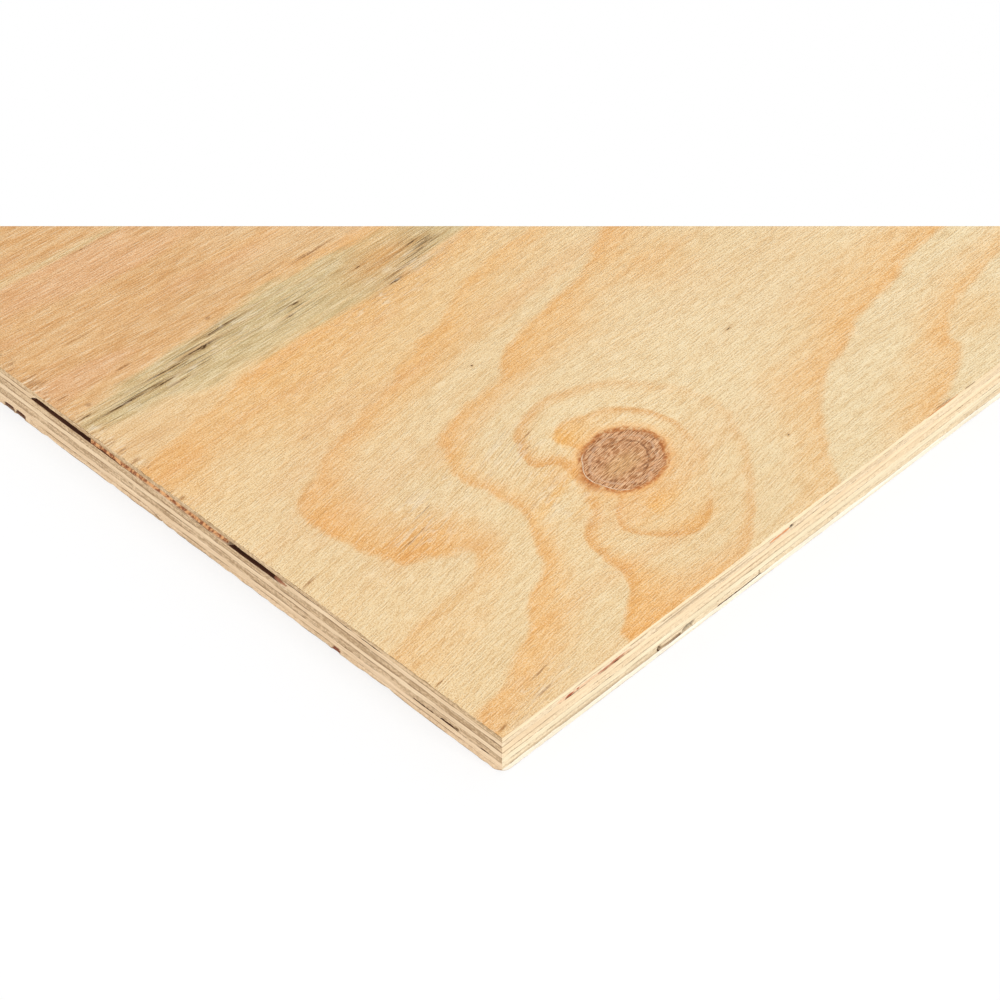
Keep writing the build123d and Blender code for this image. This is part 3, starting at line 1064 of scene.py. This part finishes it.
face_brown_checks = [
    (3.5, 3.2, 3.2, 0.7), (25, 5, 7, 0.5), (31, 12, 7, 0.5), (4.5, 97, 5.5, 0.5), (3, 32.6, 3, 0.6),
    (1.5, 156.8, 2, 1.0), (30, 239.3, 10, 0.4), (4.5, 237.5, 4, 0.6), (2.6, 245, 3, 0.5),
    (5.5, 232.2, 3.5, 0.5), (5.4, 222, 4, 0.6), (9.4, 213, 1.5, 1.5), (68.5, 214.5, 1.6, 1.4),
    (31, 217.9, 5, 0.6), (118, 212.7, 14, 0.6), (97, 216, 10, 0.5), (80, 221.5, 7, 0.4),
    (52, 147.5, 3.2, 0.4), (118, 179.9, 5, 0.5), (128, 176, 4, 0.5), (45, 86.4, 12, 0.3),
    (54, 92.5, 10, 0.3), (108, 94, 4, 0.3), (103, 89, 3, 0.35), (92, 68, 3, 0.3), (220, 0.6, 6.5, 0.5),
    (880, 420, 24, 0.5),
]
back_dark_checks = [(640, 210, 55, 0.7), (930, 500, 38, 0.6)]
back_brown_checks = [(200, 320, 40, 0.6), (480, 420, 30, 0.5), (1130, 130, 36, 0.6)]
face_finish = figured_veneer("face_figure", face_swatches, face_knots, face_dark_checks, face_brown_checks)
back_finish = figured_veneer("back_figure", back_swatches, back_knots, back_dark_checks, back_brown_checks)
print("face and back finishes mixed")

# %% [markdown]
# ## The sawn edges' finish
#
# On a sawn edge every second ply shows long fibres, pale and streaked, and the plies between show
# end grain, cut across the fibres, darker and speckled. One noise stretched along the ply's own
# grain gives both: seen from the side its streaks are long, and seen end on they are dots. A dark
# glue line runs where two plies meet, broken in places. The deep openings get painted shade inside,
# while those with rust, bark and resin keep their own colours.

# %% Edge finishes
edge_bump_depth = 0.0003


def edge_finish(name, swatch, dark_swatch, along_x, fleck_share, vein_share):
    """Finish of one ply's sawn edge: streaks along its grain, saw smears, glue lines, and tinted openings:
    their own colour where rust, bark or resin lies in them, painted shade in the deep voids and pits.
    """
    recipe = Recipe(name)
    place = recipe.place()
    stretch = (35, 900, 1300) if along_x else (900, 35, 1300)
    streak = recipe.noise(place, stretch, detail=3, roughness=0.6, flat=False)
    smear = recipe.noise(place, (34, 34, 1000), detail=3, roughness=0.65, flat=False)
    speck = recipe.noise(place, (800, 800, 1100), detail=2, flat=False)
    tone = recipe.scaled_add(streak, 0.5, recipe.times(smear, 0.5))
    colour = recipe.mix(recipe.step(tone, 0.42, 0.58), dark_swatch, swatch)
    vein = recipe.noise(place, (45, 45, 2000), detail=2, roughness=0.6, flat=False)
    colour = recipe.mix(recipe.step(vein, 0.42, 0.30, 0.0, vein_share), colour, paint(150, 116, 80))
    colour = recipe.mix(recipe.step(vein, 0.58, 0.70, 0.0, vein_share), colour, paint(250, 230, 196))
    fleck = recipe.step(speck, 0.40, 0.30, 0.0, fleck_share)
    colour = recipe.mix(fleck, colour, paint(150, 112, 72))
    glue_noise = recipe.noise(place, (70, 70, 260), detail=3, roughness=0.6, flat=False)
    glue = recipe.times(recipe.attribute("glue"), recipe.step(glue_noise, 0.44, 0.58, 0.1, 1.0))
    colour = recipe.mix(glue, colour, paint(126, 90, 56))
    stroke = recipe.noise(place, (620, 620, 240), detail=2, roughness=0.65, flat=False, turn=(0.5, 0, 0))
    shred_colour = recipe.mix(recipe.step(stroke, 0.40, 0.60), paint(136, 70, 30), paint(224, 164, 108))
    colour = recipe.mix(recipe.times(recipe.attribute("shreds"), 0.95), colour, shred_colour)
    # Painted shade: in the deep voids and pits the tint is dark brown or near black shade; elsewhere it is
    # the colour of rust, bark or resin.
    tint_and_shade = recipe.times(recipe.attribute("cavity"), recipe.step(smear, 0.3, 0.62, 0.72, 1.1))
    colour = recipe.mix(tint_and_shade, colour, recipe.attribute("tint", "Color"))
    relief = recipe.scaled_add(speck, 0.5, recipe.times(tone, 0.6))
    roughness = recipe.step(streak, 0.3, 0.7, 0.72, 0.86)
    return recipe.finish(colour, roughness, relief, edge_bump_depth)


def glued_finish():
    """Hidden faces between plies: wood soaked with brown glue."""
    recipe = Recipe("glued_face")
    patch = recipe.noise(recipe.place(), (140, 60, 60), detail=3, flat=False)
    colour = recipe.mix(recipe.step(patch, 0.35, 0.65), paint(78, 46, 32), paint(108, 68, 48))
    return recipe.finish(colour, recipe.step(patch, 0.3, 0.7, 0.5, 0.75), patch, edge_bump_depth)


glued_face = glued_finish()
print("edge finishes ready")

# %% [markdown]
# ## Saw cut, grooves and openings
#
# The recess is what turns a slab into a sawn ply. It adds up a fine saw roughness, a small groove
# where the glue line meets the cut, and the openings that the solids have too: strips that fell
# short of the cut, a lost sliver, a bark pocket. Each opening is drawn as a strip along the edge
# with a floor and a ceiling, in shares of the ply's height, so it can taper. It also carries a
# tint: the colour of bark, rust and resin in some, and painted shade, dark brown or near black, in
# the deep voids and small pits. Lengths run along the edge from the near corner.

# %% Recess of a ply's edge
saw_depth = 0.07
groove_depth = 0.14
opening_blur = 0.07
least_opening = 0.02


def ragged(distance, step, seed):
    """Random heights from 0 to 1 at even steps along a line, joined by straight runs."""
    count = int(distance.max() / step) + 2
    return np.interp(distance, step * np.arange(count), np.random.default_rng(seed).random(count))


def sawn_recess(seed):
    """Recess of every row and column: ragged saw marks, and a groove that opens at both glue lines."""
    recess = np.array([
        saw_depth * (0.4 * ragged(loop_run, 0.9, seed + row) + 0.6 * ragged(loop_run, 4.3, seed + 40 + row))
        for row in range(row_count)
    ])
    recess[0] += groove_depth * ragged(loop_run, 2.1, seed + 80) ** 2
    recess[-1] += groove_depth * ragged(loop_run, 2.3, seed + 81) ** 2
    return recess


def opening_share(side, outline):
    """1 inside a strip along one edge, given as rows of place, floor share and ceiling share."""
    place, low, high = np.array(outline, float).T
    fray = 0.08 * (ragged(loop_run, 1.1, seed=600) - 0.5)
    floor = np.interp(loop_along, place, low) + fray
    ceiling = np.interp(loop_along, place, high) - fray
    share = row_shares[:, None]
    inside = smooth_step(share, floor - opening_blur, floor + opening_blur)
    inside = inside * (1 - smooth_step(share, ceiling - opening_blur, ceiling + opening_blur))
    return inside * ((loop_side == side) & (loop_along > place[0]) & (loop_along < place[-1]))


def glue_wander(level):
    """Slow rise and fall of one glue line round the sheet, in millimetres."""
    waves = [(190, 1), (83, 1), (37, 1), (16, 1)]
    slow = 0.26 * wave_sum(loop_run, 0 * loop_run, waves, seed=70 + level)
    return slow + 0.12 * (ragged(loop_run, 1.5, seed=760 + level) - 0.5)


# %% [markdown]
# ## The seven plies
#
# Each ply gets its recess, its share of the wandering glue lines, and its own two edge swatches,
# because veneers come from different logs. The back veneer's long-grain pair is almost white:
# painted light, standing in for the glare on that strip of edge. The plies with their grain along
# the sheet show end grain on the short edges, and the crossbands on the long ones.

# %% Ply table
edge_looks = {
    # Painted light: the back veneer's long-grain pair is near white, the glare on its long edge rather than
    # the wood's own colour.
    "back_veneer": ((238, 231, 216), (229, 219, 196), (237, 208, 172), (212, 181, 143)),
    "lower_crossband": ((240, 213, 178), (224, 195, 158), (228, 210, 177), (208, 186, 152)),
    "lower_center_ply": ((236, 221, 190), (223, 206, 172), (223, 194, 157), (179, 150, 115)),
    "core_crossband": ((238, 212, 176), (223, 194, 157), (233, 211, 176), (218, 194, 158)),
    "upper_center_ply": ((235, 212, 176), (221, 195, 158), (219, 190, 152), (174, 144, 108)),
    "upper_crossband": ((238, 211, 175), (222, 192, 153), (230, 210, 177), (213, 188, 153)),
    "face_veneer": ((236, 215, 179), (223, 199, 161), (222, 192, 152), (179, 149, 110)),
}
# Opening tints. The first colour on the next line, dark brown, is painted shade inside the deep voids; bark
# and chip beside it are the wood's own colours.
void_shade, bark, chip = paint(92, 52, 34), paint(84, 46, 28), paint(124, 58, 36)
# The third colour on the next line, near black, is painted shade inside the small deep pits; rust and crack
# are the wood's own colours.
rust, crack, pit_shade = paint(164, 76, 42), paint(124, 92, 60), paint(16, 10, 6)
salmon, smoke = paint(228, 170, 128), paint(172, 148, 116)
amber, honey = paint(206, 128, 76), paint(190, 122, 66)
openings = {
    "upper_crossband": [
        (NEAR_SHORT, [(103.4, 0.42, 0.48), (106, 0.3, 0.8), (109, 0.1, 1.1), (114, -0.1, 1.1),
                      (130, -0.1, 1.1), (132.8, 0.1, 0.9)], 2.8, void_shade, 1.0),
        (NEAR_SHORT, [(103.8, 0.2, 0.5), (108, 0.0, 0.45), (112.5, -0.1, 0.2)], 0.3, rust, 0.8),
        (NEAR_SHORT, [(202.2, 0.1, 0.9), (204, -0.1, 1.1), (213, -0.1, 1.1), (222, 0.0, 1.1),
                      (229, -0.05, 1.1), (232.8, -0.1, 0.15)], 3.0, void_shade, 1.0),
        (NEAR_LONG, [(26.6, 0.1, 0.5), (28, 0.0, 0.62), (45, 0.05, 0.5), (61, 0.0, 0.55), (62.2, 0.2, 0.4)],
         0.25, salmon, 0.4),
        (NEAR_LONG, [(30.6, 0.1, 0.2), (33, 0.0, 0.5), (35, 0.15, 0.25)], 0.35, rust, 1.0),
        (NEAR_LONG, [(35.8, 0.15, 0.4), (36.6, 0.1, 0.45), (37.4, 0.2, 0.3)], 0.35, rust, 1.0),
        (NEAR_LONG, [(46, 0.12, 0.25), (56, 0.0, 0.45), (59.5, 0.15, 0.3)], 0.35, rust, 0.9),
        (NEAR_LONG, [(74, 0.3, 0.4), (80, 0.25, 0.6), (110, 0.3, 0.62), (122, 0.4, 0.5)], 0.1, smoke, 0.85),
        (NEAR_LONG, [(130.8, 0.3, 0.5), (132, 0.25, 0.6), (139, 0.3, 0.7), (141.8, 0.5, 0.8)],
         0.25, amber, 0.85),
        (NEAR_LONG, [(140.8, 0.55, 0.85), (141.8, 0.4, 0.95), (142.8, 0.5, 0.7)], 0.8, pit_shade, 1.0),
    ],
    "lower_center_ply": [
        (NEAR_SHORT, [(20.8, 0.12, 0.35), (23, 0.05, 0.24), (27, 0.04, 0.26), (29.6, -0.05, 0.1)],
         2.4, void_shade, 1.0),
        (NEAR_SHORT, [(6.5, -0.05, 0.12), (10.2, -0.05, 0.1)], 0.3, crack, 0.9),
        (NEAR_SHORT, [(33, 0.0, 0.16), (36.2, 0.0, 0.12)], 0.3, crack, 0.8),
        (NEAR_SHORT, [(37, -0.05, 0.12), (42.2, -0.05, 0.14)], 0.3, crack, 0.8),
    ],
    "lower_crossband": [
        (NEAR_LONG, [(75.0, 0.2, 0.7), (76, 0.0, 1.0), (77.0, 0.2, 0.6)], 2.4, pit_shade, 1.0),
        (NEAR_LONG, [(87.6, 0.2, 0.6), (89.5, 0.1, 0.9), (92, 0.3, 1.1), (93.2, 0.6, 0.95)], 2.4, pit_shade, 1.0),
        (NEAR_LONG, [(77, 0.05, 0.4), (87, 0.0, 0.35)], 0.5, crack, 0.9),
        (NEAR_LONG, [(105, -0.1, 0.12), (127, -0.1, 0.12)], 0.8, crack, 0.9),
        (NEAR_LONG, [(3, -0.05, 0.3), (40, -0.1, 0.5), (75, -0.05, 0.35)], 0.05, smoke, 0.6),
        (NEAR_LONG, [(125.5, -0.1, 1.1), (126.5, -0.1, 1.1)], 0.1, crack, 0.7),
    ],
    "back_veneer": [
        (NEAR_SHORT, [(77.8, 0.2, 0.6), (78.6, -0.1, 0.9), (80.6, -0.1, 0.95), (81.6, -0.1, 0.3)],
         0.25, chip, 1.0),
        (NEAR_SHORT, [(166.2, -0.1, 0.14), (169, 0.35, 0.58), (172, 0.9, 1.1)], 0.4, crack, 0.8),
        (NEAR_SHORT, [(236.6, 0.3, 0.7), (237.4, -0.1, 0.95), (240.8, -0.1, 0.9), (241.6, 0.0, 0.5)],
         0.25, bark, 1.0),
        (NEAR_SHORT, [(242.4, 0.1, 0.6), (243.4, -0.1, 0.95), (247, -0.1, 0.9), (247.6, 0.2, 0.6)],
         0.25, bark, 1.0),
    ],
    "face_veneer": [
        (NEAR_SHORT, [(57, -0.1, 0.08), (62, -0.1, 0.16), (67, -0.1, 0.06)], 0.5, crack, 1.0),
        (NEAR_SHORT, [(72, -0.1, 0.08), (78, -0.1, 0.1), (83, -0.1, 0.06)], 0.4, crack, 0.8),
        (NEAR_SHORT, [(88, -0.1, 0.08), (97, -0.1, 0.12), (103, -0.1, 0.08)], 0.4, crack, 0.8),
        (NEAR_LONG, [(211, 0.93, 1.1), (220, 0.8, 1.1), (227.5, 0.93, 1.1)], 0.2, honey, 0.9),
        (NEAR_LONG, [(231, 0.9, 1.1), (233.5, 0.85, 1.1), (236.5, 0.9, 1.1)], 0.2, crack, 0.9),
    ],
}
shred_stretch = opening_share(NEAR_SHORT, [
    (130.5, 0.3, 0.9), (134, 0.1, 1.1), (150, 0.05, 1.1), (165, 0.15, 1.1), (185, 0.0, 1.1),
    (201.5, -0.1, 1.1), (203, 0.1, 0.9),
])
glue_rows = np.array([1.0, 0.7, 0, 0, 0, 0, 0, 0.1, 1.0])
print("openings drawn:", sum(len(drawn) for drawn in openings.values()))


# %% Numbers for the finishes
def face_relief(u, v):
    """Sink of the face below the sheet's top: slow press marks, and a dip round each knot."""
    sink = 0.05 * (1 + wave_sum(u, v, [(70, 33), (-52, 41), (31, 19)], seed=21)) / 2
    for knot_u, knot_v, half_u, half_v in face_knots:
        apart = np.hypot((u - knot_u) / half_u, (v - knot_v) / half_v)
        sink = sink + 0.12 * np.exp(-((apart - 1.05) / 0.12) ** 2)
    return sink


def knot_places(u, v, knots):
    """Places seen from the nearest knot, in units of its half sizes."""
    local = np.array([((u - ku) / half_u, (v - kv) / half_v) for ku, kv, half_u, half_v in knots])
    nearest = np.hypot(local[:, 0], local[:, 1]).argmin(0)
    chosen = local[nearest, :, np.arange(len(u))]
    return np.column_stack([chosen, np.zeros(len(u))])


def ring_slope(rings, u, v):
    """Steepness of the ring height, in rings a millimetre."""
    here = rings(u, v)
    return np.hypot(rings(u + 0.5, v) - here, rings(u, v + 0.5) - here) / 0.5


def face_attributes(places):
    """Numbers that the face finish reads: ring height, masks, and the grain's and knots' coordinates."""
    u, v = places[:, 0], places[:, 1]
    return {
        "ring": face_rings(u, v), "slope": ring_slope(face_rings, u, v),
        "late": soft_average(late_strength, u, v, reach=9.0, elsewhere=0.6),
        "line": soft_average(line_strength, u, v, reach=5.0, elsewhere=0.3),
        "stain": stain_mask(u, v), "tan": tan_mask(u, v), "orange": orange_patches(u, v),
        "torn": torn_mask(u, v), "split": split_mask(u, v), "brown": brown_patch(u, v),
        "arris": arris_wear(u, v), "warm": warm_wash(u, v),
        "knot": knot_places(u, v, face_knots),
        "grain": np.column_stack([u, across_grain(u, v, face_knots), 0 * u]),
    }


def back_attributes(places):
    """The same numbers for the back, whose figure is plain."""
    u, v = places[:, 0], places[:, 1]
    flipped = [(ku, sheet_width - kv, half_u, half_v) for ku, kv, half_u, half_v in back_knots]
    patches = 0.5 + 0.5 * wave_sum(u, v, [(410, 260), (-330, 190)], seed=33)

    def rings(u, v):
        return plain_rings(u, sheet_width - v, flipped, seed=31)

    return {
        "ring": rings(u, v), "slope": ring_slope(rings, u, v),
        "late": 0.55 + 0.35 * patches, "line": 0.3 + 0 * u,
        "stain": 0 * u, "tan": 0.7 * patches, "orange": 0 * u,
        "torn": 0.6 * patches ** 4, "split": 0 * u, "brown": 0 * u, "arris": 0 * u, "warm": patches,
        "knot": knot_places(u, v, back_knots),
        "grain": np.column_stack([u, across_grain(u, v, back_knots), 0 * u]),
    }


def on_walls(wall_values, count):
    """Values for the edge's points, with zero on the flat sides."""
    flat = wall_values.reshape(row_count * loop_count, -1)
    padded = np.concatenate([flat, np.zeros((count - len(flat), flat.shape[1]))])
    return padded if flat.shape[1] > 1 else padded[:, 0]


def cut_openings(node):
    """Depth, tint and tint share of a ply's openings by row and column, the last drawn on top."""
    depth = np.zeros((row_count, loop_count))
    amount = np.zeros((row_count, loop_count))
    tint = np.full((row_count, loop_count, 3), void_shade[:3])
    for side, outline, deepest, colour, strength in openings.get(node, []):
        share = opening_share(side, outline)
        depth = np.maximum(depth, deepest * share)
        touched = share > least_opening
        tint = np.where(touched[..., None], np.array(colour[:3]), tint)
        amount = np.where(touched, np.maximum(strength * share, amount * (1 - share)), amount)
    return depth, amount, tint


# %% Wear of the outlines
corner_wear_radius = 4.5
calm_edge = 0.35
face_arris_fray, face_arris_drop, back_arris_lift = 0.35, 0.30, 0.8
back_dent_middle, back_dent_reach, back_dent_lift = 55, 9, 0.7
rougher = np.where(loop_side == NEAR_SHORT, 1.0, calm_edge)


def worn_sides(node, level):
    """Rise and fall of a ply's lower and upper outline: glue lines inside, frayed arrises outside."""
    lower, upper = glue_wander(level), glue_wander(level + 1)
    if node == "face_veneer":
        upper = -face_arris_drop * ragged(loop_run, 1.3, 502) ** 3 * rougher
    if node == "back_veneer":
        dent = np.exp(-((loop_along - back_dent_middle) / back_dent_reach) ** 2) * (loop_side == NEAR_SHORT)
        lower = back_arris_lift * ragged(loop_run, 2.6, 503) ** 3 * rougher + back_dent_lift * dent
    return lower, upper


# %% Build the plies
hidden_step = 8 * columns_per_cell
shred_least, shred_range = 0.12, 0.4
shred_fray = np.array([ragged(loop_run + 0.9 * row, 1.6, 900) for row in range(row_count)])
long_edge_glue = 0.6 - 0.25 * smooth_step(loop_along, 110, 200)
glue = glue_rows[:, None] * np.where(loop_side == NEAR_SHORT, 1.0, long_edge_glue)

for level, node in enumerate(edge_looks):
    along_x = level % 2 == 0
    is_face, is_back = node == "face_veneer", node == "back_veneer"
    depth, tint_and_shade, tint = cut_openings(node)
    shreds = shred_stretch * (tint_and_shade < 0.5) if node == "upper_crossband" else np.zeros_like(depth)
    recess = sawn_recess(seed=100 * (level + 1)) + depth + shreds * (shred_least + shred_range * shred_fray)
    if is_face:
        recess[-1] += face_arris_fray * ragged(loop_run, 0.8, 501) ** 2 * rougher
    places, polygons_of = build_ply(
        node, recess, worn_sides(node, level),
        (2 * columns_per_cell if is_back else hidden_step, columns_per_cell if is_face else hidden_step),
        cap_relief=face_relief if is_face else None,
        round_radius=corner_wear_radius if is_back else 0.0,
    )
    wall_values = {"cavity": tint_and_shade, "tint": tint, "shreds": shreds, "glue": glue}
    attributes = {name: on_walls(values, len(places)) for name, values in wall_values.items()}
    attributes.update(face_attributes(places) if is_face else back_attributes(places) if is_back else {})
    long_light, long_dark, end_light, end_dark = (paint(*swatch) for swatch in edge_looks[node])
    finishes = [
        edge_finish(node + "_long_grain", long_light, long_dark, along_x,
                    fleck_share=0.2, vein_share=0.2 if along_x else 0.28),
        edge_finish(node + "_end_grain", end_light, end_dark, along_x,
                    fleck_share=0.5, vein_share=0.4 if along_x else 0.2),
        back_finish if is_back else glued_face,
        face_finish if is_face else glued_face,
    ]
    ply_object(
        node, places, polygons_of, attributes, finishes,
        end_sides=[NEAR_SHORT, FAR_SHORT] if along_x else [NEAR_LONG, FAR_LONG],
        visible_cap="upper" if is_face else "lower" if is_back else None,
    )
